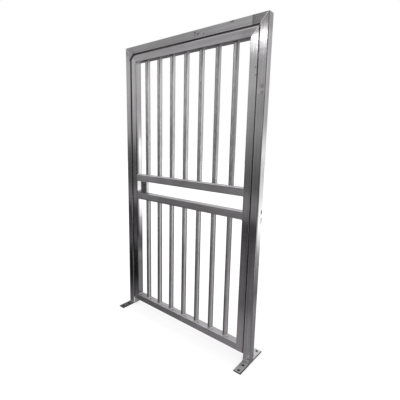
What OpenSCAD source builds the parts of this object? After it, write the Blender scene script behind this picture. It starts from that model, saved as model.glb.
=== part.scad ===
// Side gate of stainless square tube: a mitred goalpost frame on two bolt-down
// base plates, and a barred leaf that swings back on weld-on barrel hinges.
// X runs along the gate, Y away from the front, Z up. The origin is under the
// centre of the right post, on the underside of its base plate.

/* [Frame] */
// Clear width between the two posts
opening_w = 1054; // [800:1:1400]
// Length of each post, from its base plate to the top of the header
post_h = 2000; // [1700:1:2400]

/* [Tube] */
// Side of the square tube of the frame and the leaf
tube = 50; // [40:1:60]
// Wall of that tube
tube_wall = 1.5; // [1:0.1:3]
// Outer corner radius of that tube
tube_r = 4; // [3.5:0.1:6]

/* [Leaf] */
// Gap between the leaf and each post
side_gap = 6; // [5:0.5:10]
// Gap between the leaf and the header
top_gap = 8; // [5:0.5:20]
// Gap between the leaf and the ground
ground_gap = 48; // [20:1:120]
// How far the leaf's front lies behind the frame's front
leaf_recess = 5; // [4:0.5:8]
// Height of the clear slot between the two mid rails
mid_slot_h = 90; // [60:1:160]
// Height of the slot's lower edge above the leaf's bottom edge
mid_slot_z = 900; // [700:1:1100]

/* [Bars] */
// Side of the square bar
bar = 25; // [16:1:30]
// Wall of the bar's tube
bar_wall = 1.2; // [1:0.1:2]
// Outer corner radius of the bar
bar_r = 2; // [2:0.1:3]
// Clear gap between neighbouring bars, and the widest gap beside a stile
bar_gap = 98.5; // [70:0.5:110]

/* [Base plates] */
// Length of each base plate, across the gate's line
plate_l = 262; // [200:1:320]
// Width of each base plate
plate_w = 50; // [40:1:80]
// Thickness of each base plate
plate_t = 6; // [4:0.5:12]
// Diameter of the anchor holes
anchor_d = 11; // [7:0.5:14]
// Distance of the outer anchor holes from the plate's ends
outer_anchor_edge = 20; // [12:1:30]
// Distance between an outer anchor hole and the inner one beside it
anchor_step = 52; // [20:1:55]

/* [Hinges] */
// Diameter of the hinge barrels
barrel_d = 16; // [14:0.5:24]
// Length of each of a hinge's two barrels
barrel_h = 50; // [30:1:80]
// Gap between the two barrels, for the washer
barrel_gap = 0.3; // [0.2:0.1:2]
// Diameter of the hinge pin
pin_d = 8; // [6:0.5:10]
// Radial running clearance of the pin in the leaf's barrel
pin_clearance = 0.05; // [0.02:0.01:0.1]
// Width of the welded hinge wings
wing_w = 36; // [24:1:40]
// Thickness of the hinge wings
wing_t = 5; // [4:0.5:8]
// Distance of each hinge's middle from the leaf's end
hinge_inset = 220; // [120:1:400]

/* [Lock box] */
// Width of the lock box
lock_w = 62; // [40:1:90]
// Depth of the lock box
lock_d = 26; // [20:1:40]
// Wall of the lock box
lock_wall = 2; // [1:0.1:2.5]
// Outer corner radius of the lock box
lock_r = 3; // [2.5:0.1:5]
// Width of the pocket between the lock box and the stile
lock_pocket_w = 40; // [20:1:60]
// How far the box's front lies behind the leaf's front
lock_setback = 3; // [0:0.5:8]

/* [Stop plate] */
// Length of the stop plate's two straight legs, along the post and the header
stop_leg = 50; // [35:1:60]
// Thickness of the stop plate
stop_t = 3; // [2:0.5:6]
// Overlap of the stop plate on the frame's front
stop_lap = 7; // [5:0.5:9]

/* [Hidden] */
$fn = 48;
// Overshoot of a cutting tool past the face that it cuts
cut = 2;
steel = [0.66, 0.66, 0.68];
bar_steel = [0.72, 0.72, 0.74];
dark_steel = [0.24, 0.24, 0.25];

frame_w = opening_w + 2 * tube;
left_x = tube - frame_w;
right_inner_x = -tube / 2;
left_inner_x = left_x + tube / 2;
post_z = plate_t;
frame_top = plate_t + post_h;
header_z = frame_top - tube;

leaf_right = right_inner_x - side_gap;
leaf_left = left_inner_x + side_gap;
leaf_w = leaf_right - leaf_left;
leaf_bottom = ground_gap;
leaf_top = header_z - top_gap;
leaf_h = leaf_top - leaf_bottom;
leaf_front = leaf_recess - tube / 2;
leaf_back = leaf_front + tube;
leaf_y = (leaf_front + leaf_back) / 2;
inner_left = leaf_left + tube;
inner_w = leaf_w - 2 * tube;

slot_z = leaf_bottom + mid_slot_z;
lower_mid_z = slot_z - tube;
upper_mid_z = slot_z + mid_slot_h;
upper_bar_z = upper_mid_z + tube;
upper_bar_h = leaf_top - tube - upper_bar_z;
lower_bar_z = leaf_bottom + tube;
lower_bar_h = lower_mid_z - lower_bar_z;
bar_pitch = bar + bar_gap;
// Fewest bars that leave no gap wider than bar_gap
bar_count = ceil((inner_w - bar_gap) / bar_pitch);
first_bar_x = inner_left + (inner_w - bar_pitch * (bar_count - 1)) / 2;

axis_x = (right_inner_x + leaf_right) / 2;
axis_y = tube / 2 + max(wing_t, leaf_recess) + barrel_d / 2;
neck_w = barrel_d / 2 - side_gap / 2;
lower_hinge_z = leaf_bottom + hinge_inset;
upper_hinge_z = leaf_top - hinge_inset;

// Rectangle of size w by d with rounded corners, centred
module rounded_rectangle(w, d, r) {
    square([w, d - 2 * r], center = true);
    square([w - 2 * r, d], center = true);
    for (x = [-1, 1], y = [-1, 1])
        translate([x * (w / 2 - r), y * (d / 2 - r)]) circle(r);
}

// Rectangular tube along Z, centred on it
module rectangular_tube(length, w, d, wall, r) {
    linear_extrude(length) difference() {
        rounded_rectangle(w, d, r);
        rounded_rectangle(w - 2 * wall, d - 2 * wall, r - wall);
    }
}

// Square tube along Z, centred on it
module square_tube(length, side, wall, r) {
    rectangular_tube(length, side, side, wall, r);
}

// Wedge that cuts a tube's upper end at 45 degrees, its long side at -X
module mitre_wedge(length) {
    half = tube / 2 + cut;
    translate([0, half, length - tube / 2]) rotate([90, 0, 0])
        linear_extrude(2 * half) polygon([[-half, half], [half, -half], [half, half]]);
}

// Frame tube along Z with mitred ends, its long side at -X
module mitred_tube(length, lower_mitre = true) {
    difference() {
        square_tube(length, tube, tube_wall, tube_r);
        mitre_wedge(length);
        if (lower_mitre) translate([0, 0, length]) mirror([0, 0, 1]) mitre_wedge(length);
    }
}

// Mitred tube laid along X from x = 0, its long side on top
module mitred_rail(length) {
    rotate([0, 90, 0]) mitred_tube(length);
}

module left_post() {
    color(steel) translate([left_x, 0, post_z]) mitred_tube(post_h, lower_mitre = false);
}

module right_post() {
    color(steel) translate([0, 0, post_z]) mirror([1, 0, 0]) mitred_tube(post_h, lower_mitre = false);
}

module header() {
    color(steel) translate([left_x - tube / 2, 0, header_z + tube / 2]) mitred_rail(frame_w);
}

// Flat bar with a row of anchor holes before and behind the post
module base_plate() {
    anchor_y = plate_l / 2 - outer_anchor_edge;
    color(steel) difference() {
        translate([-plate_w / 2, -plate_l / 2, 0]) cube([plate_w, plate_l, plate_t]);
        for (side = [-1, 1], y = [anchor_y, anchor_y - anchor_step])
            translate([0, side * y, -cut]) cylinder(d = anchor_d, h = plate_t + 2 * cut);
    }
}

module left_base_plate() {
    translate([left_x, 0, 0]) base_plate();
}

module right_base_plate() {
    base_plate();
}

// Triangle welded on the front of the frame's upper left corner, across the leaf's corner
module stop_plate() {
    color(steel) translate([left_inner_x - stop_lap, -tube / 2, header_z + stop_lap]) rotate([90, 0, 0])
        linear_extrude(stop_t) polygon([[0, 0], [0, -stop_leg], [stop_leg, 0]]);
}

module lock_stile() {
    color(steel) translate([leaf_left + tube / 2, leaf_y, leaf_bottom]) mitred_tube(leaf_h);
}

module hinge_stile() {
    color(steel) translate([leaf_right - tube / 2, leaf_y, leaf_bottom]) mirror([1, 0, 0]) mitred_tube(leaf_h);
}

module top_rail() {
    color(steel) translate([leaf_left, leaf_y, leaf_top - tube / 2]) mitred_rail(leaf_w);
}

module bottom_rail() {
    color(steel) translate([leaf_left, leaf_y, leaf_bottom + tube / 2]) mirror([0, 0, 1]) mitred_rail(leaf_w);
}

// Plain rail between the stiles, its underside at height z
module mid_rail(z) {
    color(steel) translate([inner_left, leaf_y, z + tube / 2]) rotate([0, 90, 0])
        square_tube(inner_w, tube, tube_wall, tube_r);
}

module upper_mid_rail() {
    mid_rail(upper_mid_z);
}

module lower_mid_rail() {
    mid_rail(lower_mid_z);
}

// Bar number i of a row that starts at height z
module leaf_bar(i, z, length) {
    color(bar_steel) translate([first_bar_x + (i - 1) * bar_pitch, leaf_y, z])
        square_tube(length, bar, bar_wall, bar_r);
}

module upper_bar(i) {
    leaf_bar(i, upper_bar_z, upper_bar_h);
}

module lower_bar(i) {
    leaf_bar(i, lower_bar_z, lower_bar_h);
}

// Short box section that stands in the slot, a pocket's width from the stile
module lock_box() {
    x = inner_left + lock_pocket_w + lock_w / 2;
    y = leaf_front + lock_setback + lock_d / 2;
    color(dark_steel) translate([x, y, slot_z])
        rectangular_tube(mid_slot_h, lock_w, lock_d, lock_wall, lock_r);
}

// Outline of a hinge half: barrel, neck and wing on a tube's back face.
// The wing starts at edge_x and runs along side, -1 or 1.
module hinge_outline(edge_x, face_y, side) {
    translate([axis_x, axis_y]) circle(d = barrel_d);
    translate([edge_x + min(side, 0) * neck_w, face_y]) square([neck_w, axis_y - face_y]);
    translate([edge_x + min(side, 0) * wing_w, face_y]) square([wing_w, wing_t]);
}

// Lower half of a hinge, on the post, with the pin that stands up from it
module hinge_pin_half(z) {
    color(bar_steel) {
        translate([0, 0, z - barrel_h]) linear_extrude(barrel_h) hinge_outline(right_inner_x, tube / 2, 1);
        translate([axis_x, axis_y, z - cut]) cylinder(d = pin_d, h = cut + barrel_gap + barrel_h);
    }
}

// Upper half of a hinge, on the leaf, which drops over the pin
module hinge_leaf_half(z) {
    color(bar_steel) translate([0, 0, z + barrel_gap]) difference() {
        linear_extrude(barrel_h) hinge_outline(leaf_right, leaf_back, -1);
        translate([axis_x, axis_y, -cut]) cylinder(r = pin_d / 2 + pin_clearance, h = barrel_h + 2 * cut);
    }
}

module lower_hinge_pin_half() {
    hinge_pin_half(lower_hinge_z);
}

module upper_hinge_pin_half() {
    hinge_pin_half(upper_hinge_z);
}

module lower_hinge_leaf_half() {
    hinge_leaf_half(lower_hinge_z);
}

module upper_hinge_leaf_half() {
    hinge_leaf_half(upper_hinge_z);
}

left_post();
right_post();
header();
left_base_plate();
right_base_plate();
stop_plate();
lower_hinge_pin_half();
upper_hinge_pin_half();
lock_stile();
hinge_stile();
top_rail();
bottom_rail();
upper_mid_rail();
lower_mid_rail();
for (i = [1:bar_count]) {
    upper_bar(i);
    lower_bar(i);
}
lock_box();
lower_hinge_leaf_half();
upper_hinge_leaf_half();
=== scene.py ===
# %% [markdown]
# A side gate in satin stainless steel.
#
# The gate is welded from square tube: two posts and a header make a mitred frame, and a barred leaf
# hangs in it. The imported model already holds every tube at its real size, so this lesson doesn't model
# the tubes again. It sets up a camera and a studio, gives each kind of steel its own finish, and then
# adds what a welder leaves behind: beads, ground seams, heat tint and a few marks.

# %% Load the frame
import math

import bpy
from mathutils import Matrix, Vector


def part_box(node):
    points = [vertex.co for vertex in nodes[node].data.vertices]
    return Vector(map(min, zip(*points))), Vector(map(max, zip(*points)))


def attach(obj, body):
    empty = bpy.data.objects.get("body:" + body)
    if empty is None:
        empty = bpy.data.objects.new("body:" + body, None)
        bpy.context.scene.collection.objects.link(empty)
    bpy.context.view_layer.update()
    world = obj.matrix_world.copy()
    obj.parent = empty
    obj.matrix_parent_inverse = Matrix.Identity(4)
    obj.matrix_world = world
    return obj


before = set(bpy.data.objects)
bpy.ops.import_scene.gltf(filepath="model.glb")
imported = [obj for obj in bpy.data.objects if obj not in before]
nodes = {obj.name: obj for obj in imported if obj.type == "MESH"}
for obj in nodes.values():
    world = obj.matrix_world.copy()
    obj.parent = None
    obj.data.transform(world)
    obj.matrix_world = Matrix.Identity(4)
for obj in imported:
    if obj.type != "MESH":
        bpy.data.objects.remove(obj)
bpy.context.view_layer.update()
MM = 0.001

# %% [markdown]
# The camera comes first, because every later choice is judged through it. The picture was taken by
# hand from the front right, about 1.35 m up, with a wide lens, and it leans by a little more than a
# degree. A camera could be aimed with a constraint, but three plain turns are easier to read: first the
# heading, then the tilt, then the lean.

# %% Camera
IMAGE_PX = 400
FOCAL_PX = 306.4
HORIZON_SHIFT_PX = -5.6
CAMERA_PLACE = Vector((0.8208, -1.5359, 1.3509))
HEADING = 0.6779
TILT = -0.1732
LEAN = 0.0230

camera_data = bpy.data.cameras.new("photo_camera")
camera_data.sensor_fit = "HORIZONTAL"
camera_data.sensor_width = 36.0
camera_data.lens = camera_data.sensor_width * FOCAL_PX / IMAGE_PX
camera_data.shift_y = HORIZON_SHIFT_PX / IMAGE_PX
camera_data.clip_start = 0.01
camera = bpy.data.objects.new("photo_camera", camera_data)
bpy.context.scene.collection.objects.link(camera)
camera.matrix_world = (
    Matrix.Translation(CAMERA_PLACE)
    @ Matrix.Rotation(HEADING, 4, "Z")
    @ Matrix.Rotation(math.pi / 2 + TILT, 4, "X")
    @ Matrix.Rotation(LEAN, 4, "Z")
)
bpy.context.scene.camera = camera
print("camera with a", round(camera_data.lens, 1), "mm lens")

# %% [markdown]
# Shader maths reads badly as a pile of nodes, so one small class stands for a wire in the node tree.
# Python's own operators add the Math nodes, and one method adds any other node. The methods below it
# are the few shapes of value that steel needs: fades, bands, spots, noise and stains.

# %% Wires for shader maths


class Wire:
    """One output of a node, which takes part in Python expressions."""

    def __init__(self, tree, socket):
        self.tree = tree
        self.socket = socket

    def make(self, kind, settings=None, inputs=None, out=0):
        """Adds a node: its settings first, then the values or wires of its sockets."""
        node = self.tree.nodes.new(kind)
        for name, value in (settings or {}).items():
            if name == "stops":
                ramp = node.color_ramp.elements
                while len(ramp) < len(value):
                    ramp.new(0.5)
                for element, (position, level) in zip(ramp, value):
                    element.position = position
                    element.color = (level, level, level, 1.0)
            else:
                setattr(node, name, value)
        for name, value in (inputs or {}).items():
            if isinstance(value, Wire):
                self.tree.links.new(value.socket, node.inputs[name])
            else:
                node.inputs[name].default_value = value
        return Wire(self.tree, node.outputs[out])

    def math(self, operation, other=0.0, swap=False):
        first, second = (other, self) if swap else (self, other)
        return self.make("ShaderNodeMath", {"operation": operation}, {0: first, 1: second})

    def __add__(self, other):
        return self.math("ADD", other)

    __radd__ = __add__

    def __sub__(self, other):
        return self.math("SUBTRACT", other)

    def __rsub__(self, other):
        return self.math("SUBTRACT", other, swap=True)

    def __mul__(self, other):
        return self.math("MULTIPLY", other)

    __rmul__ = __mul__

    def __truediv__(self, other):
        return self.math("DIVIDE", other)

    def __rtruediv__(self, other):
        return self.math("DIVIDE", other, swap=True)

    def fade(self, start, end):
        """0 where this wire is at start, 1 where it is at end, smooth between them."""
        limits = {"Value": self, "From Min": start, "From Max": end}
        return self.make("ShaderNodeMapRange", {"interpolation_type": "SMOOTHSTEP"}, limits)

    def near(self, value, reach):
        """1 at a value, and 0 from a reach away on either side."""
        return (self - value).math("ABSOLUTE").fade(reach, 0.0)

    def between(self, low, high, soft):
        """1 from low to high, with soft ends outside them."""
        return self.fade(low - soft, low) * self.fade(high + soft, high)

    def ramp(self, stops):
        """Greys at places along this wire, with straight lines between them."""
        first, last = stops[0][0], stops[-1][0]
        top = max(level for place, level in stops)
        marks = [((place - first) / (last - first), level / top) for place, level in stops]
        share = (self - first) / (last - first)
        return top * self.make("ShaderNodeValToRGB", {"stops": marks}, {"Fac": share})

    def axes(self):
        """The X, Y and Z of a vector wire."""
        split = self.make("ShaderNodeSeparateXYZ", None, {0: self})
        return [Wire(self.tree, socket) for socket in split.socket.node.outputs]

    def stretched(self, factors):
        """A vector wire with each axis multiplied."""
        return self.make("ShaderNodeVectorMath", {"operation": "MULTIPLY"}, {0: self, 1: factors})

    def spot(self, centre, radius, core=0.4):
        """1 in the core share of a radius round a place, and 0 outside the radius."""
        inputs = {0: self, 1: centre}
        distance = self.make("ShaderNodeVectorMath", {"operation": "DISTANCE"}, inputs, out=1)
        return distance.fade(radius, core * radius)

    def noise(self, scale, detail=2.0, roughness=0.5):
        inputs = {"Vector": self, "Scale": scale, "Detail": detail, "Roughness": roughness}
        return self.make("ShaderNodeTexNoise", None, inputs)

    def blend(self, first, second):
        """Two colours, mixed by this wire."""
        inputs = {0: self, 6: first, 7: second}
        return self.make("ShaderNodeMix", {"data_type": "RGBA"}, inputs, out=2)

    def stained(self, colour, mask):
        """This colour wire, multiplied by a colour where the mask is 1."""
        inputs = {0: mask, 6: self, 7: colour}
        settings = {"data_type": "RGBA", "blend_type": "MULTIPLY"}
        return self.make("ShaderNodeMix", settings, inputs, out=2)


def new_finish(name):
    """A material with its shader node and a wire of Object coordinates."""
    material = bpy.data.materials.new(name)
    material.use_nodes = True
    tree = material.node_tree
    place = Wire(tree, tree.nodes.new("ShaderNodeTexCoord").outputs["Object"])
    return material, tree.nodes["Principled BSDF"], place


def connect(shader, **wires):
    """Links wires to the shader's sockets by name, with _ for a space."""
    for name, wire in wires.items():
        wire.tree.links.new(wire.socket, shader.inputs[name.replace("_", " ")])


def grey(value):
    """A colour with the same red, green and blue."""
    return (value, value, value, 1.0)


print("shader maths is ready")

# %% [markdown]
# Metal shows its surroundings more than its own colour. The studio is a pale floor under a white dome.
# The floor would render a little grey under such soft light, so the camera and the reflections see it
# with a faint glow that brings it up to white, while the gate's own shadow stays on it.

# %% Floor and dome
FLOOR_SIZE = 30.0
FLOOR_GLOW = 0.52

bpy.ops.object.select_all(action="DESELECT")
bpy.ops.mesh.primitive_plane_add(size=FLOOR_SIZE, location=(0, 0, 0))
floor = bpy.context.object
floor.name = "studio_floor"
floor_finish, floor_shader, floor_place = new_finish("pale_floor")
floor_shader.inputs["Base Color"].default_value = grey(0.62)
floor_shader.inputs["Roughness"].default_value = 0.9
floor_shader.inputs["Specular IOR Level"].default_value = 0.0
floor_shader.inputs["Emission Strength"].default_value = 1.0
path = floor_place.make("ShaderNodeLightPath").socket.node
ray = {kind: Wire(path.id_data, path.outputs["Is " + kind + " Ray"])
       for kind in ("Camera", "Glossy", "Transmission")}
connect(floor_shader, Emission_Color=FLOOR_GLOW * (ray["Camera"] + ray["Glossy"] + ray["Transmission"]))
floor.data.materials.append(floor_finish)

world = bpy.data.worlds.new("studio_dome")
bpy.context.scene.world = world
world.use_nodes = True
background = world.node_tree.nodes["Background"]
background.inputs["Color"].default_value = grey(1.0)
background.inputs["Strength"].default_value = 1.0
bpy.context.scene.view_settings.view_transform = "Standard"
print("floor and dome are in place")

# %% [markdown]
# A photographer shapes the light on bare metal with cards: grey ones, called flags, make the dark parts
# of a reflection, and a small bright one makes a highlight. Here a card is a plane that glows in a soft
# gradient and that only reflections can see. A picture of real surroundings on the dome could do the same,
# but cards can be moved one at a time until the steel looks right.

# %% A card that only reflections see
FLAT = (0.0, 0.0, 0.0)
FACING_Y = (math.pi / 2, 0.0, 0.0)
FACING_X = (math.pi / 2, 0.0, math.pi / 2)


def card(name, centre, size, turn, paint, tint=grey(1.0)):
    """A glowing plane. paint is one grey, or turns wires of X, Y and Z into a grey, to be tinted."""
    bpy.ops.object.select_all(action="DESELECT")
    bpy.ops.mesh.primitive_plane_add(size=1.0, location=centre, rotation=turn)
    plane = bpy.context.object
    plane.name = name
    plane.scale = (size[0], size[1], 1.0)
    bpy.ops.object.transform_apply(location=True, rotation=True, scale=True)
    for ray_kind in ("camera", "diffuse", "shadow", "transmission", "volume_scatter"):
        setattr(plane, "visible_" + ray_kind, False)
    finish, shader, place = new_finish(name)
    shader.inputs["Base Color"].default_value = grey(0.0)
    shader.inputs["Specular IOR Level"].default_value = 0.0
    shader.inputs["Emission Strength"].default_value = 1.0
    if callable(paint):
        connect(shader, Emission_Color=paint(*place.axes()).stained(tint, 1.0))
    else:
        shader.inputs["Emission Color"].default_value = grey(paint)
    plane.data.materials.append(finish)


print("cards can be stood up and laid down")

# %% [markdown]
# Two mats lie on the floor. The front one stands for the ground between the camera and the gate: dark far
# off, lighter near the gate, with a dark pool by the left post. It has a faint mauve tint, which the steel
# picks up. The back one is dark close behind the gate and bright further off.

# %% Mats on the floor
MAT_TINT = (1.0, 0.962, 1.006, 1.0)


def front_mat_grey(x, y, z):
    reach = y + 0.155 * (x + 1.8).math("MINIMUM", 0.0)
    along = reach.ramp([(-4.0, 0.30), (-3.15, 0.28), (-3.0, 0.04), (-2.5, 0.055), (-1.7, 0.12),
                        (-0.56, 0.19), (-0.45, 0.28), (-0.3, 0.33), (0.0, 0.33)])
    across = x.ramp([(-1.3, 0.40), (-0.9, 0.45), (-0.36, 0.80), (-0.2, 1.0)])
    near_gate = y.fade(-0.9, -0.4)
    to_side, to_front = x + 1.75, y + 0.53
    pool = (to_side * to_side + to_front * to_front).fade(0.80, 0.04)
    left_end = x.fade(-1.6, -2.4) * (0.4 + 0.6 * reach.fade(-3.3, -2.9))
    return along * (1 - near_gate * (1 - across)) * (1 - 0.85 * pool) * (1 - 0.28 * left_end)


def back_mat_grey(x, y, z):
    behind = y.ramp([(0.0, 0.29), (0.4, 0.32), (0.75, 0.34), (1.25, 0.36), (1.65, 0.46), (2.2, 1.3),
                     (2.8, 1.9), (4.0, 1.5), (6.0, 1.2)])
    far_left = y.ramp([(0.0, 0.52), (0.6, 0.50), (1.5, 0.27), (2.5, 0.15), (10.0, 0.13)])
    dark_spot = y.between(0.9, 1.35, 0.35) * x.between(0.0, 0.42, 0.2)
    to_right = x.fade(-0.6, 0.0)
    return behind * (1 - 0.72 * dark_spot) * to_right + far_left * (1 - to_right)


card("front_mat", (-7.5, -2.02, 0.002), (17.0, 3.96), FLAT, front_mat_grey, MAT_TINT)
card("back_mat", (-4.0, 4.98, 0.002), (16.0, 10.04), FLAT, back_mat_grey)
print("two mats lie on the floor")

# %% [markdown]
# A long wall stands in front of the gate, with a corner at its right end, and other walls stand at the
# gate's right, at its left and behind it. Upright tube mirrors them level by level, so a wall's greys are a
# ramp along Z. A small bright card makes the highlight high on the right post.

# %% Walls and a highlight


def front_wall_grey(x, y, z):
    right_end = z.ramp([(0.0, 0.30), (0.2, 0.29), (0.36, 0.14), (0.65, 0.155), (1.3, 0.31), (1.9, 0.47),
                        (2.2, 0.50), (2.46, 0.66), (3.0, 0.60), (3.6, 0.48), (8.0, 0.46)])
    left_end = z.ramp([(0.0, 0.10), (0.85, 0.10), (1.1, 0.15), (1.37, 0.39), (1.9, 0.52), (2.8, 0.64),
                       (3.6, 0.60), (8.0, 0.50)])
    to_left = x.fade(-2.4, -6.0)
    return right_end * (1 - to_left) + left_end * to_left


def right_wall_grey(x, y, z):
    return z.ramp([(0.0, 1.15), (0.4, 0.95), (0.75, 1.1), (0.95, 1.5), (1.1, 1.4), (1.6, 0.9), (1.95, 0.62),
                   (3.0, 0.68), (8.0, 0.72)])


def highlight_grey(x, y, z):
    return 11.0 * z.fade(2.94, 3.16) * z.fade(3.44, 3.22)


card("front_wall", (-11.4, -4.0, 4.0), (25.2, 8.0), FACING_Y, front_wall_grey)
card("front_corner", (2.6, -2.5, 4.0), (4.1, 8.0), (math.pi / 2, 0.0, 0.82), 0.10)
card("right_wall", (4.0, 5.5, 4.0), (13.0, 8.0), FACING_X, right_wall_grey)
card("left_wall", (-13.0, 6.0, 7.0), (10.0, 14.0), FACING_X, 0.20)
card("back_wall", (-5.0, 10.0, 8.0), (18.0, 16.0), FACING_Y, 0.75)
card("highlight", (-1.65, -3.95, 3.17), (0.6, 0.6), FACING_Y, highlight_grey)
print("five walls and a highlight stand round the gate")

# %% [markdown]
# Satin tube is ground along its length with a belt. Each fine scratch mirrors sideways, so a reflection is
# drawn out across the scratches and stays sharp along them. The shader's Anisotropic socket does that for
# scratches far too fine to see, and its rotation says which way they run. Stretched noise adds the coarser
# ones that do show, and slow clouds over them stand for handling.

# %% What brushed steel is made of
ALONG_X = 0
ALONG_Z = 2
LEVEL_GRAIN = 0.25
TUBE_GRAIN = 0.9
SCRATCH_DEPTH_MM = 0.012
STREAK_DEPTH_MM = 0.1
LIGHT_STEEL = (0.650, 0.636, 0.650, 1.0)
DARK_STEEL = (0.510, 0.499, 0.510, 1.0)


def stretch(run, across, along):
    """Noise frequencies per metre: across on two axes, along on the run's own axis."""
    factors = [across] * 3
    factors[run] = along
    return factors


def brushed(place, run):
    """Scratches, belt streaks and clouds, each from 0 to 1."""
    scratches = place.stretched(stretch(run, across=420.0, along=6.0)).noise(1.0, detail=3.0)
    streaks = place.stretched(stretch(run, across=75.0, along=0.9)).noise(1.0, detail=2.0)
    clouds = place.noise(7.0, detail=3.0)
    return scratches, streaks, clouds


def lay_steel(shader, colour, gloss, height, grain=0.0, run=ALONG_Z):
    """Metal from a colour wire, a roughness wire and a height in millimetres."""
    shader.inputs["Metallic"].default_value = 1.0
    shader.inputs["Anisotropic"].default_value = grain
    shader.inputs["Anisotropic Rotation"].default_value = LEVEL_GRAIN if run == ALONG_X else 0.0
    bump = height.make("ShaderNodeBump", None, {"Height": height, "Strength": 1.0, "Distance": MM})
    connect(shader, Base_Color=colour, Roughness=gloss, Normal=bump)


def tube_steel(name, run, gloss, stains):
    """Brushed tube. stains turns the place and its X, Y and Z into pairs of a colour and a mask."""
    finish, shader, place = new_finish(name)
    scratches, streaks, clouds = brushed(place, run)
    colour = (streaks * 0.6 + clouds * 0.4).fade(0.3, 0.7).blend(DARK_STEEL, LIGHT_STEEL)
    for stain, mask in stains(place, *place.axes()):
        colour = colour.stained(stain, mask)
    roughness = gloss + 0.06 * clouds + 0.05 * scratches
    height = SCRATCH_DEPTH_MM * scratches + STREAK_DEPTH_MM * streaks
    lay_steel(shader, colour, roughness, height, TUBE_GRAIN, run)
    return finish


print("brushed steel is ready to be stained")

# %% [markdown]
# The posts and stiles stand upright. Their rounded edges are duller, partly because the belt polishes only
# the flats and partly as painted shade. The faces that look into the narrow gaps between the frame and the
# leaf are darkened as painted shade. A few small stains sit where the real posts have them, each a named
# spot. All of it could be painted by hand on a texture, but fades along X, Y and Z, multiplied into a mask
# from 0 to 1, stay sharp at any size and are easy to move.

# %% Dirt and painted shade on the uprights
SHARP = 0.5 * MM
TUBE_SIDES = (-1.129, -1.079, -1.073, -1.023, -0.081, -0.025, 0.025)
LEFT_GAP = (-1.0800, -1.0720)
RIGHT_GAP = (-0.0318, -0.0240)
RIGHT_GAP_LIP = (-0.0345, -0.0318)
EDGE = grey(0.72)
GRIME = grey(0.34)
SMUDGE = (0.70, 0.68, 0.69, 1.0)
SMUDGES = {
    (0.006, -0.025, 1.642): 0.016,
    (0.008, -0.025, 1.611): 0.015,
    (-0.041, -0.020, 1.743): 0.008,
    (-0.038, -0.020, 1.703): 0.008,
}
EDGE_STAIN = grey(0.10)
EDGE_STAINS = {
    (0.024, 0.020, 0.957): 0.016,
    (0.024, 0.020, 0.915): 0.012,
    (0.024, 0.020, 0.898): 0.011,
    (0.024, 0.020, 0.641): 0.011,
}


def spots(place, places, core=0.4):
    """1 in each of some spots, which are given as centres with their radii."""
    return sum(place.spot(centre, radius, core) for centre, radius in places.items())


def upright_dirt(place, x, y, z):
    """Duller edges that are partly painted shade, smudges, edge stains, painted shade in the gaps, and
    splashes at the feet.
    """
    # The rounded edges are duller, partly from the belt and partly as painted shade.
    x_edge = sum(x.near(side, 5.0 * MM) for side in TUBE_SIDES)
    y_edge = y.fade(-0.0160, -0.0190) + y.fade(0.0215, 0.0245)
    edge_stains = spots(place, EDGE_STAINS, core=0.6) * x.fade(0.0212, 0.0232)
    # Painted shade on the faces that look into the gaps between the frame and the leaf.
    left_gap = 0.35 * x.between(*LEFT_GAP, SHARP)
    right_gap = x.between(*RIGHT_GAP, SHARP) * z.fade(1.6, 1.0)
    gap_lip = x.between(*RIGHT_GAP_LIP, SHARP) * z.between(0.62, 0.92, 0.08)
    splash = z.fade(0.050, 0.015) * place.noise(220.0, detail=3.0).fade(0.45, 0.60)
    return [
        (EDGE, x_edge * y_edge), (SMUDGE, spots(place, SMUDGES)), (EDGE_STAIN, edge_stains),
        (GRIME, left_gap + right_gap + gap_lip), (SMUDGE, splash),
    ]


print("dirt with", len(SMUDGES) + len(EDGE_STAINS), "spots")

# %% [markdown]
# The flats aren't even either. Many tones are painted light and shade: painted shade trims the highlight
# near the top of the right post and stile, the hinge stile's edge gets a painted highlight, the feet on the
# left get painted light, and the lock stile's inner side gets bright and dark strips of painted reflection.
# The two posts differ, so each tone is a mask with its own grey: below 1 is duller, above 1 is brighter.

# %% Upright tube
UPRIGHT_GLOSS = 0.13


def right_tones(x, y, z):
    """Tones of the right post's front and of the hinge stile beside it, with painted shade that trims the
    highlight and a painted highlight on the stile's edge.
    """
    post_front = x.fade(-0.026, -0.024) * y.fade(-0.018, -0.024)
    # Painted shade near the top of the right post and the hinge stile trims the reflected highlight.
    dull_top = post_front * z.between(1.66, 1.85, 0.05)
    shine_foot = post_front * z.between(1.825, 1.860, 0.015)
    dull_patch = post_front * z.fade(1.612, 1.598) * z.fade(1.44, 1.52)
    front_line = post_front * x.between(0.016, 0.022, 2.0 * MM) * z.between(0.98, 1.36, 0.06)
    # A painted highlight on the hinge stile's edge by the gap, and painted shade at the stile's top.
    stile_edge = x.between(-0.036, -0.031, SHARP) * z.fade(1.76, 1.82)
    stile_end = x.between(-0.081, -0.031, 1.0 * MM) * z.fade(1.902, 1.925)
    return [
        (grey(0.80), dull_top), (grey(0.78), shine_foot), (grey(0.85), dull_patch),
        (grey(0.78), front_line), (grey(1.50), stile_edge), (grey(0.65), stile_end),
    ]


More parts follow.
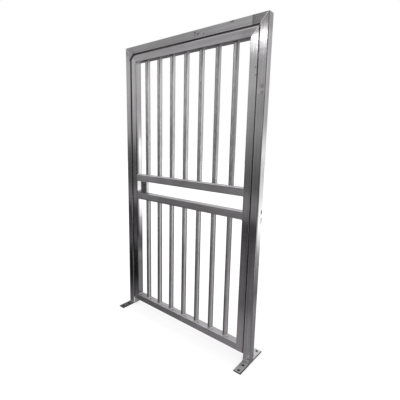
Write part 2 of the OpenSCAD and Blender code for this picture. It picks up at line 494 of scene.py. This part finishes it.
def left_tones(x, y, z):
    """Tones of the left post's inner edge and of the lock stile's front and inner side, with painted light
    at their feet and strips of painted reflection on the inner side.
    """
    post_edge = x.between(-1.0835, -1.0785, SHARP) * y.fade(-0.010, -0.016) * z.fade(0.50, 0.42)
    leaf_front = y.fade(-0.014, -0.019)
    # Painted light at the feet of the left post and the lock stile.
    rinsed_foot = leaf_front * x.fade(-1.020, -1.028) * z.fade(0.27, 0.21)
    bright_front = leaf_front * x.between(-1.073, -1.024, 1.0 * MM) * z.between(1.08, 1.30, 0.04)
    lock_side = x.between(-1.0245, -1.0215, SHARP)
    # A brighter strip at the lock's height, and a darker band just above the lower mid rail.
    bolt_track = lock_side * z.between(0.968, 1.041, 2.0 * MM)
    lock_dirt = lock_side * z.between(0.945, 0.964, 3.0 * MM) * y.fade(-0.008, 0.002)
    # Painted shade low on the lock stile's inner side, and strips of painted dark and bright reflection on
    # it.
    rain_mark = lock_side * z.between(0.10, 0.36, 0.10)
    by_rails = z.between(0.62, 0.905, 0.08) + z.fade(1.080, 1.085) * z.fade(1.56, 1.30)
    dull_strip = x.between(-1.0275, -1.0215, SHARP) * y.fade(0.006, -0.014) * by_rails
    wiped = z.between(1.10, 1.34, 0.04) + z.between(0.76, 0.88, 0.02)
    clean_strip = lock_side * y.fade(-0.004, 0.008) * wiped
    return [
        (grey(2.20), post_edge), (grey(1.50), rinsed_foot), (grey(1.15), bright_front),
        (grey(1.20), bolt_track), (grey(0.50), lock_dirt), (grey(0.54), rain_mark),
        (grey(0.22), dull_strip), (grey(1.40), clean_strip),
    ]


def upright_stains(place, x, y, z):
    """All stains and painted light of the posts and stiles, with painted shade at their top ends."""
    right_half = x.fade(-0.5, -0.4)
    # Painted shade at the uprights' top ends trims the reflected highlight.
    mitre_end = z.fade(1.895, 1.945) * right_half + z.fade(1.945, 1.960) * (1 - right_half)
    tones = right_tones(x, y, z) + left_tones(x, y, z) + [(grey(0.72), mitre_end)]
    return upright_dirt(place, x, y, z) + tones


upright_steel = tube_steel("upright_steel", ALONG_Z, UPRIGHT_GLOSS, upright_stains)
print("upright tube is finished")

# %% [markdown]
# The header and the rails lie level, so their scratches run along X. Welding a bar on leaves a brown tint
# round its foot: the distance to the nearest bar comes from rounding X in steps of the bars' pitch, which
# tints all seven feet with one expression. The edges that look up get a painted highlight, and the top
# rail's underside gets painted shade.

# %% Tones of the rails
BAR_PITCH = 0.1235
MIDDLE_BAR_X = -0.552
BAR_END_LEVELS = (1.898, 1.088, 0.898, 0.098)
RAIL_TOPS = (1.088, 0.948, 0.098)
HEAT_TINT = (0.74, 0.71, 0.68, 1.0)
RAIL_HEAT = 0.3
RUBBED_LIP = grey(1.7)


def from_bar(x):
    """How far a place is to the right of the middle of the nearest bar."""
    step = (x - MIDDLE_BAR_X) / BAR_PITCH
    return (step - step.math("ROUND")) * BAR_PITCH


def front_lip(y):
    """1 on the rounded edge between a level tube's front and its upper or lower face."""
    return y.fade(-0.0145, -0.0185)


def rail_tones(x, y, z):
    """Heat tint, painted highlights on the upper edges, painted shade under the top rail, and the rails'
    darker and brighter ends.
    """
    bar_feet = sum(z.near(level, 0.018) for level in BAR_END_LEVELS)
    heat = RAIL_HEAT * from_bar(x).near(0.0, 0.034) * bar_feet
    # Painted highlights on the upper front edges and on the leaf's top edge, and painted shade under the top
    # rail.
    rail_edges = front_lip(y) * sum(z.between(top - 3.5 * MM, top, SHARP) for top in RAIL_TOPS)
    leaf_edge = front_lip(y) * z.between(1.9425, 1.9480, SHARP) * x.fade(-0.58, -0.42)
    underside = z.between(1.880, 1.8995, 2.0 * MM)
    leaf_front = y.fade(-0.014, -0.019)
    right_end = leaf_front * z.between(1.898, 1.941, SHARP) * x.fade(-0.17, -0.10)
    mid_ends = leaf_front * z.between(0.898, 1.088, SHARP) * x.between(-0.93, -0.84, 0.08)
    left_top = z.between(0.0965, 0.0985, SHARP) * x.fade(-0.85, -0.95)
    lock_foot = z.between(0.9445, 0.9485, SHARP) * x.fade(-0.885, -0.905)
    return [
        (HEAT_TINT, heat), (grey(1.50), rail_edges), (RUBBED_LIP, leaf_edge), (grey(0.60), underside),
        (grey(0.82), right_end), (grey(1.20), mid_ends), (grey(0.78), left_top), (grey(0.50), lock_foot),
    ]


print("rails with heat tint at", len(BAR_END_LEVELS), "rows of bar ends")

# %% [markdown]
# The header's right end was ground once more with short upright strokes, and is darker, and its left half is
# duller than the rest. Its underside looks into the gap above the leaf and gets painted shade there, lighter
# towards the back at the right, where it stands in for a highlight on the leaf's top edge. Its lower front
# edge gets a painted highlight. A few scuffs on its front are spots again.

# %% Level tube
LEVEL_GLOSS = 0.27
TOP_GAP = (1.9485, 1.9560)
SCUFF = (0.34, 0.32, 0.32, 1.0)
HEADER_SCUFFS = {
    (-0.463, -0.025, 1.990): 0.008,
    (-0.463, -0.025, 1.976): 0.007,
    (-0.443, -0.025, 1.978): 0.008,
    (-0.434, -0.025, 1.981): 0.006,
    (-0.397, -0.025, 1.974): 0.006,
    (-0.192, -0.025, 1.999): 0.008,
    (-0.206, -0.025, 1.998): 0.007,
}


def header_tones(place, x, y, z):
    """The header's ground end, dull half, scuffs, a painted highlight on its lower edge and painted shade on
    its underside.
    """
    above_leaf = z.fade(1.952, 1.956)
    patch = x.fade(-0.073, -0.070) * above_leaf * y.fade(-0.019, -0.0235)
    patch_edge = patch * x.fade(-0.052, -0.058)
    strokes = patch * place.stretched((260.0, 1.0, 24.0)).noise(1.0, detail=2.0).fade(0.42, 0.60)
    dull_half = above_leaf * x.fade(-0.2, -0.6)
    # A painted highlight on the lower front edge, and painted shade in the gap above the leaf, lighter where
    # it stands in for the leaf edge's highlight.
    lower_edge = front_lip(y) * z.between(1.9565, 1.9605, SHARP)
    light_strip = 0.6 * y.fade(-0.006, 0.000) * x.fade(-0.60, -0.40)
    top_gap = z.between(*TOP_GAP, SHARP) * (1 - light_strip)
    return [
        (grey(0.64), patch), (grey(0.85), patch_edge), (grey(0.72), strokes), (grey(0.77), dull_half),
        (SCUFF, spots(place, HEADER_SCUFFS)), (RUBBED_LIP, lower_edge), (grey(0.18), top_gap),
    ]


def level_stains(place, x, y, z):
    return rail_tones(x, y, z) + header_tones(place, x, y, z)


def corner_stains(place, x, y, z):
    """The stop plate in the frame's corner is duller all over."""
    return [(grey(0.80), 1.0)]


level_steel = tube_steel("level_steel", ALONG_X, LEVEL_GLOSS, level_stains)
corner_steel = tube_steel("corner_steel", ALONG_X, LEVEL_GLOSS, corner_stains)
print("level tube with", len(HEADER_SCUFFS), "scuffs on the header")

# %% [markdown]
# The bars are thinner tube with a duller, cloudier polish than the frame. Their front right corner gets a
# painted highlight low down, their right sides get one high up and low down, and the two corners beside
# it get painted shade. The distances to the right and to the back of a bar's middle find its faces, and
# their difference, which grows towards the bright corner, finds its corners.

# %% Polish and painted highlights of the bars
BAR_MIDDLE_Y = 0.005
BAR_GRAIN = 0.5
DULL_BAR = (0.500, 0.490, 0.500, 1.0)
BRIGHT_BAR = (0.880, 0.862, 0.880, 1.0)
POLISHED = (0.960, 0.945, 0.955, 1.0)

bar_steel, shader, place = new_finish("bar_steel")
x, y, z = place.axes()
scratches, streaks = brushed(place, ALONG_Z)[:2]
blotches = place.stretched(stretch(ALONG_Z, across=90.0, along=26.0)).noise(1.0, detail=3.0)
colour = (streaks * 0.4 + blotches * 0.6).fade(0.3, 0.7).blend(DULL_BAR, BRIGHT_BAR)
to_right = from_bar(x)
to_back = y - BAR_MIDDLE_Y
to_corner = to_right - to_back
low_down = z.fade(1.2, 0.2)
side_face = to_right.fade(0.0100, 0.0122)
front_face = to_back.fade(-0.0100, -0.0122)
# Painted highlights on the right sides and, low down, on the front right corner.
clean_side = side_face * (z.fade(1.35, 1.75) + low_down)
polish = to_corner.fade(0.010, 0.022) * low_down + 0.85 * clean_side
colour = polish.blend(colour, POLISHED)
print("bars are polished")

# %% [markdown]
# No two of the bars look the same. The masks below go corners first, then right sides, then fronts, and
# last the ends. Painted shade darkens two corners of each bar, the bright corner at the top, the right sides
# near the hinge stile, the sides below the lower mid rail, the sides' back halves low down and the tops
# under the top rail. The fronts are darker or brighter in places, and the ends are heat tinted.

# %% Stains and painted shade of the bars
BAR_HEAT = 0.4
BAR_SCRATCH_DEPTH_MM = 0.05

edge_start = 0.0065 + 0.0055 * low_down
edge_core = 0.0030 + 0.0020 * low_down
# Painted shade on two corners, on the right sides near the hinge stile, below the lower mid rail, on the
# sides' backs low down and under the top rail.
dark_corners = to_corner.math("ABSOLUTE").fade(edge_start, edge_core)
dull_corner = to_corner.fade(0.017, 0.022) * z.fade(1.74, 1.84)
dull_sides = side_face * x.fade(-0.50, -0.10) * z.fade(0.45, 0.75)
below_rail_sides = side_face * z.between(0.60, 0.90, 0.08)
side_backs = side_face * to_back.fade(-0.001, 0.005) * z.fade(1.0, 0.85)
left_side_backs = side_face * to_back.fade(0.000, 0.005) * z.fade(0.75, 0.60) * x.fade(-0.70, -0.78)
dull_fronts = front_face * x.fade(-0.35, -0.50) * z.between(1.10, 1.42, 0.08)
right_halves = front_face * to_right.fade(-0.004, 0.003) * x.between(-0.80, -0.30, 0.05) * z.fade(1.1, 1.4)
below_rail_fronts = front_face * z.between(0.68, 0.88, 0.05)
low_fronts = front_face * x.fade(-0.40, -0.25) * z.between(0.42, 0.63, 0.05)
hot_ends = BAR_HEAT * sum(z.near(level, 0.045) for level in BAR_END_LEVELS) * blotches.fade(0.3, 0.6)
sooty_tops = z.fade(1.888, 1.896)
bar_stains = [
    (grey(0.16), dark_corners), (grey(0.55), dull_corner),
    (grey(0.64), dull_sides), (grey(0.83), below_rail_sides),
    (grey(0.60), side_backs), (grey(0.60), left_side_backs),
    (grey(0.84), dull_fronts), (grey(0.85), right_halves),
    (grey(1.20), below_rail_fronts), (grey(1.20), low_fronts),
    (HEAT_TINT, hot_ends), (grey(0.45), sooty_tops),
]
for stain, mask in bar_stains:
    colour = colour.stained(stain, mask)
roughness = 0.40 + 0.20 * blotches + 0.06 * scratches
height = BAR_SCRATCH_DEPTH_MM * scratches + STREAK_DEPTH_MM * streaks
lay_steel(shader, colour, roughness, height, BAR_GRAIN, ALONG_Z)
print("bars with", len(bar_stains), "stains")

# %% [markdown]
# The base plates are cut from hot-rolled flat bar and pickled, which leaves a pale, speckled skin. The cut
# faces are near black, partly as painted shade, and bands along the front and right edges of the top and
# rings round the anchor holes are painted shade. The left plate is darker all over. Bare skin is metal and a
# dirty cut isn't, so the Metallic socket follows the cut faces' mask.

# %% Base plates
PLATE_RIGHT_EDGES = (-1.079, 0.025)
PLATE_MIDDLES = (-1.104, 0.0)
PLATE_TOP = 6.0 * MM
HOLE_PLACES_Y = (-0.111, -0.059, 0.059, 0.111)
ROLLED_WIDTH = 3.2 * MM
RIM_RADIUS = 9.5 * MM

plate_steel, shader, place = new_finish("plate_steel")
x, y, z = place.axes()
# The cut faces are near black, partly as painted shade.
cut_faces = z.fade(0.0058, 0.0046)
left_plate = x.fade(-0.5, -0.6)
specks = place.noise(420.0, detail=2.0).fade(0.52, 0.66)
clouds = place.noise(45.0, detail=4.0)
colour = clouds.fade(0.3, 0.7).blend(grey(0.68), grey(0.92)).stained(grey(0.55), specks)
# Painted shade along the front and right edges of the tops and round the anchor holes.
right_edges = sum(x.between(edge - ROLLED_WIDTH, edge, 1.0 * MM) for edge in PLATE_RIGHT_EDGES)
rolled_edge = right_edges + y.fade(-0.1272, -0.1284)
hole_rims = sum(place.spot((plate_x, hole_y, PLATE_TOP), RIM_RADIUS, core=0.8)
                for plate_x in PLATE_MIDDLES for hole_y in HOLE_PLACES_Y)
colour = colour.stained(grey(0.12), rolled_edge + hole_rims).stained(grey(0.06), cut_faces)
colour = colour.stained(grey(0.28), left_plate)
lay_steel(shader, colour, 0.38 + 0.14 * clouds, place.noise(260.0, detail=3.0) * 0.12)
connect(shader, Metallic=1 - cut_faces)
print("plates with", len(PLATE_MIDDLES) * len(HOLE_PLACES_Y), "dark rims")

# %% [markdown]
# The hinges are turned on a lathe, so their scratches run round the pin: noise that is very long across and
# very short along Z draws such rings. The lock box is folded from sheet, with a dark and scuffed front.

# %% Hinges and lock box
hinge_steel, shader, place = new_finish("hinge_steel")
rings = place.stretched((8.0, 8.0, 900.0)).noise(1.0, detail=3.0)
clouds = place.noise(60.0, detail=3.0)
colour = (rings * 0.5 + clouds * 0.5).fade(0.3, 0.7).blend(grey(0.48), grey(0.64))
lay_steel(shader, colour, 0.22 + 0.12 * clouds, rings * 0.03)

lock_steel, shader, place = new_finish("lock_steel")
scratches, streaks, clouds = brushed(place, ALONG_Z)
front_skin = place.axes()[1].fade(-0.0135, -0.0155)
colour = (streaks * 0.5 + clouds * 0.5).fade(0.3, 0.7).blend(grey(0.52), grey(0.64))
scuffs = place.noise(150.0, detail=2.0).fade(0.38, 0.62)
colour = colour.stained(scuffs.blend(grey(0.30), grey(0.75)), front_skin)
lay_steel(shader, colour, 0.28 + 0.14 * clouds, scratches * 0.04)
print("hinges and lock box have finishes")

# %% [markdown]
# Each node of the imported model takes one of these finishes, by its name. Its mesh and its place stay as
# they are.

# %% Finishes on the nodes
UPRIGHTS = ("left_post", "right_post", "lock_stile", "hinge_stile")
finish_count = {}
for name, piece in nodes.items():
    finish = level_steel
    if name in UPRIGHTS:
        finish = upright_steel
    elif "_bar_" in name:
        finish = bar_steel
    elif name.endswith("base_plate"):
        finish = plate_steel
    elif "hinge" in name:
        finish = hinge_steel
    elif name == "lock_box":
        finish = lock_steel
    elif name == "stop_plate":
        finish = corner_steel
    piece.data.materials.clear()
    piece.data.materials.append(finish)
    finish_count[finish.name] = finish_count.get(finish.name, 0) + 1
print("finishes on the nodes:", finish_count)

# %% [markdown]
# Every joint of the gate is welded. A weld bead is a row of overlapping ripples, each a little wider in
# its middle. A wavy texture on a round bar would look flat at its outline, so one ripple is modelled: a
# ring is extruded twice and swells between. An Array modifier repeats it, and both ends taper and close.

# %% One weld bead
BEAD_SIDES = 8
RIPPLE = 2.2 * MM
RIPPLE_SWELL = 1.15
END_TAPER = 0.5


def pick(piece, test):
    """Selects, in edit mode, only the vertices whose place passes a test."""
    bpy.ops.mesh.select_all(action="DESELECT")
    bpy.ops.object.mode_set(mode="OBJECT")
    for vertex in piece.data.vertices:
        vertex.select = test(vertex.co)
    bpy.ops.object.mode_set(mode="EDIT")


def grow_ring(start, move, swell):
    """Extrudes the selected ring along X and swells it. Returns where it has come to."""
    bpy.ops.mesh.extrude_region_move(TRANSFORM_OT_translate={"value": (move, 0, 0)})
    bpy.ops.transform.resize(value=(1, swell, swell), center_override=(start + move, 0, 0))
    return start + move


def model_bead(length, radius, flat):
    """A bead along X from the origin. flat below 1 is a bead that was ground down."""
    bpy.ops.object.select_all(action="DESELECT")
    bpy.ops.mesh.primitive_circle_add(vertices=BEAD_SIDES, radius=radius, rotation=(0, math.pi / 2, 0))
    model = bpy.context.object
    bpy.ops.object.transform_apply(rotation=True)
    count = max(2, round(length / RIPPLE))
    step = length / count
    bpy.ops.object.mode_set(mode="EDIT")
    bpy.ops.mesh.select_all(action="SELECT")
    middle = grow_ring(0.0, 0.6 * step, RIPPLE_SWELL)
    grow_ring(middle, 0.4 * step, 1 / RIPPLE_SWELL)
    bpy.ops.object.mode_set(mode="OBJECT")
    row = model.modifiers.new("ripples", "ARRAY")
    row.count = count
    row.use_relative_offset = False
    row.use_constant_offset = True
    row.constant_offset_displace = (step, 0, 0)
    row.use_merge_vertices = True
    row.merge_threshold = 0.05 * MM
    bpy.ops.object.modifier_apply(modifier=row.name)
    bpy.ops.object.mode_set(mode="EDIT")
    for end, outward in ((0.0, -1.0), (length, 1.0)):
        pick(model, lambda co: abs(co.x - end) < 0.1 * step)
        grow_ring(end, outward * END_TAPER * radius, END_TAPER)
        bpy.ops.mesh.edge_face_add()
    bpy.ops.mesh.select_all(action="SELECT")
    bpy.ops.transform.resize(value=(1, 1, flat), center_override=(0, 0, 0))
    bpy.ops.mesh.normals_make_consistent(inside=False)
    bpy.ops.object.mode_set(mode="OBJECT")
    bpy.ops.object.shade_smooth()
    return model


print("a bead has ripples of", RIPPLE / MM, "mm")

# %% [markdown]
# A bead is modelled once for each length, radius and flatness, and copied to every place that needs it. In
# the inner corner between two tubes it is called a fillet, and sits a little out of the corner. Beads of one
# kind are joined into one piece, which rides on the body that they are welded to.

# %% Beads in their places
BEAD_RADIUS = 2.3 * MM
BEAD_SEAT = 0.35

bead_models = {}


def lay_bead(start, end, out, radius=BEAD_RADIUS, flat=1.0):
    """A copy of a bead from one place to another, with its crown facing out."""
    start, end, out = Vector(start), Vector(end), Vector(out).normalized()
    length = (end - start).length
    key = (round(length / MM), radius, flat)
    if key not in bead_models:
        bead_models[key] = model_bead(length, radius, flat)
    copy = bead_models[key].copy()
    copy.data = copy.data.copy()
    along = (end - start).normalized()
    turn = Matrix((along, out.cross(along), out)).transposed().to_4x4()
    copy.matrix_world = Matrix.Translation(start) @ turn
    bpy.context.scene.collection.objects.link(copy)
    return copy


def fillet(start, end, face_a, face_b, radius=BEAD_RADIUS):
    """A bead in the inner corner between two faces, whose outward directions are given."""
    out = Vector(face_a) + Vector(face_b)
    seat = BEAD_SEAT * radius * out
    return lay_bead(Vector(start) + seat, Vector(end) + seat, out, radius)


def join_pieces(name, copies, body, finish):
    """Joins copies into one piece at the origin that rides on a body."""
    bpy.ops.object.select_all(action="DESELECT")
    for copy in copies:
        copy.select_set(True)
    bpy.context.view_layer.objects.active = copies[0]
    bpy.ops.object.join()
    bpy.ops.object.transform_apply(location=True, rotation=True, scale=True)
    piece = bpy.context.object
    piece.name = name
    piece.data.name = name
    piece.data.materials.clear()
    piece.data.materials.append(finish)
    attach(piece, body)
    print(name, "has", len(copies), "copies and", len(piece.data.polygons), "faces")


print("fillets are", BEAD_RADIUS / MM, "mm in radius")

# %% [markdown]
# Fresh weld metal is bright on its crowns and keeps a straw and blue-grey tint in its ripples. Seams that
# were ground flush are brighter than the tube round them, with short scratches of the grinding disc. Beads
# right under the top rail get painted shade, and those by the lock and at the posts' feet are darker too.

# %% Weld finishes
weld_steel, shader, place = new_finish("weld_steel")
tint = place.noise(160.0, detail=3.0).fade(0.35, 0.65)
x, y, z = place.axes()
colour = tint.blend((0.88, 0.86, 0.86, 1.0), (1.0, 0.985, 0.97, 1.0))
# Painted shade on the beads under the top rail.
under_rail = z.fade(1.889, 1.894)
by_lock = x.fade(-0.90, -0.91) * z.between(0.945, 0.962, 2.0 * MM)
at_feet = 0.8 * z.fade(0.020, 0.016)
colour = colour.stained(grey(0.35), under_rail + by_lock + at_feet)
lay_steel(shader, colour, 0.24 + 0.16 * tint, place.noise(900.0) * 0.04)

ground_steel, shader, place = new_finish("ground_steel")
scuffs = place.noise(300.0, detail=3.0)
lay_steel(shader, scuffs.fade(0.3, 0.7).blend(grey(0.74), grey(0.95)), 0.30 + 0.15 * scuffs, scuffs * 0.08)
print("weld metal and ground seams have finishes")

# %% [markdown]
# Each bar stands between two rails, so both its ends get four fillets, one on each side. The bars' boxes
# come from the frame, so no place is typed again.

# %% Welds at the bars' ends
UP = Vector((0, 0, 1))
SIDES = (Vector((0, -1, 0)), Vector((1, 0, 0)), Vector((0, 1, 0)), Vector((-1, 0, 0)))


def foot_fillets(low, high, level, facing, radius=BEAD_RADIUS):
    """Four fillets round an upright tube, on a level face that looks up (1) or down (-1)."""
    corners = [(low[0], low[1]), (high[0], low[1]), (high[0], high[1]), (low[0], high[1])]
    ring = []
    for index, side in enumerate(SIDES):
        start = Vector((*corners[index], level))
        end = Vector((*corners[(index + 1) % 4], level))
        ring.append(fillet(start, end, side, facing * UP, radius))
    return ring


bar_beads = []
for name in nodes:
    if "_bar_" in name:
        low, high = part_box(name)
        bar_beads += foot_fillets(low, high, low[2], 1)
        bar_beads += foot_fillets(low, high, high[2], -1)
join_pieces("bar_welds", bar_beads, "leaf", weld_steel)

# %% [markdown]
# The mid rails butt against the stiles. Their upper and lower faces get a fillet at each end, and the
# small groove that the rounded stile leaves in front and behind is filled and ground almost flush.

# %% Welds at the mid rails' ends
TUBE_EDGE = 4.0 * MM
GROUND = 0.35
GROOVE_RADIUS = 3.0 * MM
GROOVE_DEPTH = 1.2 * MM

rail_beads = []
rail_seams = []
for name in ("upper_mid_rail", "lower_mid_rail"):
    low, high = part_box(name)
    front, back = low[1] + TUBE_EDGE, high[1] - TUBE_EDGE
    bottom, top = low[2] + TUBE_EDGE, high[2] - TUBE_EDGE
    for end, inward in ((low[0], 1), (high[0], -1)):
        face = Vector((inward, 0, 0))
        rail_beads.append(fillet((end, front, high[2]), (end, back, high[2]), face, UP))
        rail_beads.append(fillet((end, front, low[2]), (end, back, low[2]), face, -UP))
        for y_face, side in ((low[1], SIDES[0]), (high[1], SIDES[2])):
            sunk = y_face - GROOVE_DEPTH * side[1]
            rail_seams.append(lay_bead((end, sunk, bottom), (end, sunk, top), side, GROOVE_RADIUS, GROUND))
join_pieces("rail_welds", rail_beads, "leaf", weld_steel)
join_pieces("rail_seams", rail_seams, "leaf", ground_steel)

# %% [markdown]
# The corners of the frame and of the leaf are mitred: both tubes are cut at 45 degrees and the seam is
# ground flat on the faces that people see. On the real gate each shows as a thin bright line, so every
# seam is a very flat bead from the inner corner to the outer one, in front and behind. Inside the leaf's
# corners nobody grinds, so a full bead stays there.

# %% Ground seams on the mitres
SEAM_RADIUS = 1.6 * MM
SEAM_FLAT = 0.40
SEAM_INSET = 0.6 * TUBE_EDGE


def mitre_seams(outer, inward, tube, front, back):
    """Two flat seams from an outer corner (X, Z) along a diagonal, on the front and the back face."""
    seams = []
    for y_face, side in ((front, SIDES[0]), (back, SIDES[2])):
        diagonal = Vector((inward[0], 0, inward[1]))
        start = Vector((outer[0], y_face, outer[1])) + SEAM_INSET * diagonal
        end = start + (tube - 2 * SEAM_INSET) * diagonal
        seams.append(lay_bead(start, end, side, SEAM_RADIUS, SEAM_FLAT))
    return seams


low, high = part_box("header")
tube = high[2] - low[2]
frame_seams = mitre_seams((low[0], high[2]), (1, -1), tube, low[1], high[1])
frame_seams += mitre_seams((high[0], high[2]), (-1, -1), tube, low[1], high[1])
join_pieces("frame_seams", frame_seams, "frame", ground_steel)

leaf_seams = []
for rail, down in (("top_rail", -1), ("bottom_rail", 1)):
    low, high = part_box(rail)
    level = high[2] if down < 0 else low[2]
    leaf_seams += mitre_seams((low[0], level), (1, down), tube, low[1], high[1])
    leaf_seams += mitre_seams((high[0], level), (-1, down), tube, low[1], high[1])
join_pieces("leaf_seams", leaf_seams, "leaf", ground_steel)

corner_beads = []
for rail, up in (("top_rail", -1), ("bottom_rail", 1)):
    low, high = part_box(rail)
    level = low[2] if up < 0 else high[2]
    for end, inward in ((low[0] + tube, 1), (high[0] - tube, -1)):
        front, back = low[1] + TUBE_EDGE, high[1] - TUBE_EDGE
        corner_beads.append(fillet((end, front, level), (end, back, level), (inward, 0, 0), up * UP))
join_pieces("leaf_corner_welds", corner_beads, "leaf", weld_steel)

# %% [markdown]
# The posts stand on their plates with a heavier fillet in front and behind. The stop plate is thin, so it
# is welded to the post and the header with thin fillets, along its two straight edges.

# %% Welds at the feet and the stop plate
FOOT_RADIUS = 3.0 * MM
THIN_RADIUS = 1.6 * MM
FRONT, RIGHT, BACK, LEFT = SIDES

foot_beads = []
for side_name in ("left", "right"):
    low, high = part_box(side_name + "_post")
    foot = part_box(side_name + "_base_plate")[1][2]
    for y_face, side in ((low[1], FRONT), (high[1], BACK)):
        foot_beads.append(fillet((low[0], y_face, foot), (high[0], y_face, foot), side, UP, FOOT_RADIUS))
join_pieces("foot_welds", foot_beads, "frame", weld_steel)

low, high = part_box("stop_plate")
stop_beads = [
    fillet((low[0], high[1], low[2]), (low[0], high[1], high[2]), LEFT, FRONT, THIN_RADIUS),
    fillet((low[0], high[1], high[2]), (high[0], high[1], high[2]), UP, FRONT, THIN_RADIUS),
]
join_pieces("stop_welds", stop_beads, "frame", weld_steel)

# %% [markdown]
# A hinge half is held by its wing, a flat strip on the back of the post or of the stile. Thin fillets run
# along the wing's three free edges.

# %% Welds of the hinge wings
BARREL_HEIGHT = 50.0 * MM


def wing_fillets(edge, root, face, bottom, top, outward):
    """Three fillets round a hinge wing's free edges, on a back face at Y = face."""
    return [
        fillet((edge, face, bottom), (edge, face, top), outward, BACK, THIN_RADIUS),
        fillet((root, face, top), (edge, face, top), UP, BACK, THIN_RADIUS),
        fillet((root, face, bottom), (edge, face, bottom), -UP, BACK, THIN_RADIUS),
    ]


pin_beads = []
leaf_hinge_beads = []
for level in ("lower", "upper"):
    low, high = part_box(level + "_hinge_pin_half")
    post_low, post_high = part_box("right_post")
    pin_beads += wing_fillets(high[0], post_low[0] + TUBE_EDGE, post_high[1], low[2],
                              low[2] + BARREL_HEIGHT, RIGHT)
    low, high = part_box(level + "_hinge_leaf_half")
    stile_low, stile_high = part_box("hinge_stile")
    leaf_hinge_beads += wing_fillets(low[0], stile_high[0] - TUBE_EDGE, stile_high[1], low[2], high[2], LEFT)
join_pieces("pin_wing_welds", pin_beads, "frame", weld_steel)
join_pieces("leaf_wing_welds", leaf_hinge_beads, "leaf", weld_steel)

# %% [markdown]
# The lock box is welded between the mid rails. One round screw head sits in its right side: a cylinder
# whose rim is bevelled to a dome, with a socket that is inset and pushed in.

# %% Lock box details
SCREW_PLACE = Vector((-0.921, 0.0038, 0.9767))
SCREW_RADIUS = 4.0 * MM
SCREW_HEIGHT = 2.6 * MM
SCREW_DOME = 1.4 * MM
SOCKET_RIM = 0.8 * MM
SOCKET_DEPTH = 1.5 * MM

low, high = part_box("lock_box")
lock_beads = foot_fillets(low, high, low[2], 1, THIN_RADIUS)
lock_beads += foot_fillets(low, high, high[2], -1, THIN_RADIUS)
join_pieces("lock_welds", lock_beads, "leaf", weld_steel)

bpy.ops.object.select_all(action="DESELECT")
bpy.ops.mesh.primitive_cylinder_add(vertices=24, radius=SCREW_RADIUS, depth=SCREW_HEIGHT,
                                    location=SCREW_PLACE, rotation=(0, math.pi / 2, 0))
screw = bpy.context.object
bpy.ops.object.transform_apply(location=True, rotation=True)
crown = SCREW_PLACE.x + SCREW_HEIGHT / 2
bpy.ops.object.mode_set(mode="EDIT")
pick(screw, lambda co: co.x > SCREW_PLACE.x)
bpy.ops.mesh.bevel(offset=SCREW_DOME, segments=4)
pick(screw, lambda co: co.x > crown - 0.01 * MM)
bpy.ops.mesh.inset(thickness=SOCKET_RIM)
bpy.ops.mesh.extrude_region_move(TRANSFORM_OT_translate={"value": (-SOCKET_DEPTH, 0, 0)})
bpy.ops.mesh.select_all(action="SELECT")
bpy.ops.mesh.normals_make_consistent(inside=False)
bpy.ops.object.mode_set(mode="OBJECT")
bpy.ops.object.shade_smooth_by_angle(angle=math.radians(40))
join_pieces("lock_screw", [screw], "leaf", lock_steel)

# %% [markdown]
# The plates lie on the ground, and the pale floor would show through their anchor holes. A near-black disc
# in each hole is painted shade that makes the holes look black. Each disc is a filled circle, extruded a
# little and drawn in to a low mound, and is modelled once for all eight holes.

# %% Painted shade in the anchor holes
GRIT_RADIUS = 5.2 * MM
GRIT_HEIGHT = 1.0 * MM
GRIT_LIFT = 0.1 * MM

# A near-black finish for the discs, which are painted shade in the holes.
grit, shader, place = new_finish("grit")
crumbs = place.noise(1500.0, detail=3.0)
shader.inputs["Specular IOR Level"].default_value = 0.2
bump = crumbs.make("ShaderNodeBump", None, {"Height": crumbs, "Strength": 1.0, "Distance": 0.4 * MM})
connect(shader, Base_Color=crumbs.blend(grey(0.006), grey(0.035)), Roughness=0.8 + 0.2 * crumbs, Normal=bump)

bpy.ops.object.select_all(action="DESELECT")
bpy.ops.mesh.primitive_circle_add(vertices=16, radius=GRIT_RADIUS, fill_type="NGON",
                                  location=(0, 0, GRIT_LIFT))
mound = bpy.context.object
bpy.ops.object.transform_apply(location=True)
bpy.ops.object.mode_set(mode="EDIT")
bpy.ops.mesh.select_all(action="SELECT")
bpy.ops.mesh.extrude_region_move(TRANSFORM_OT_translate={"value": (0, 0, GRIT_HEIGHT)})
bpy.ops.mesh.inset(thickness=0.5 * GRIT_RADIUS)
bpy.ops.transform.translate(value=(0, 0, 0.5 * GRIT_HEIGHT))
bpy.ops.mesh.select_all(action="SELECT")
bpy.ops.mesh.normals_make_consistent(inside=False)
bpy.ops.object.mode_set(mode="OBJECT")

mounds = []
for plate_x in PLATE_MIDDLES:
    for hole_y in HOLE_PLACES_Y:
        copy = mound.copy()
        copy.data = mound.data.copy()
        copy.location = (plate_x, hole_y, 0)
        bpy.context.scene.collection.objects.link(copy)
        mounds.append(copy)
bpy.data.objects.remove(mound)
join_pieces("hole_grit", mounds, "frame", grit)

# %% [markdown]
# The bead models were only patterns for the copies, so they go.

# %% Remove the bead models
for model in bead_models.values():
    bpy.data.objects.remove(model)
print("removed", len(bead_models), "bead models")
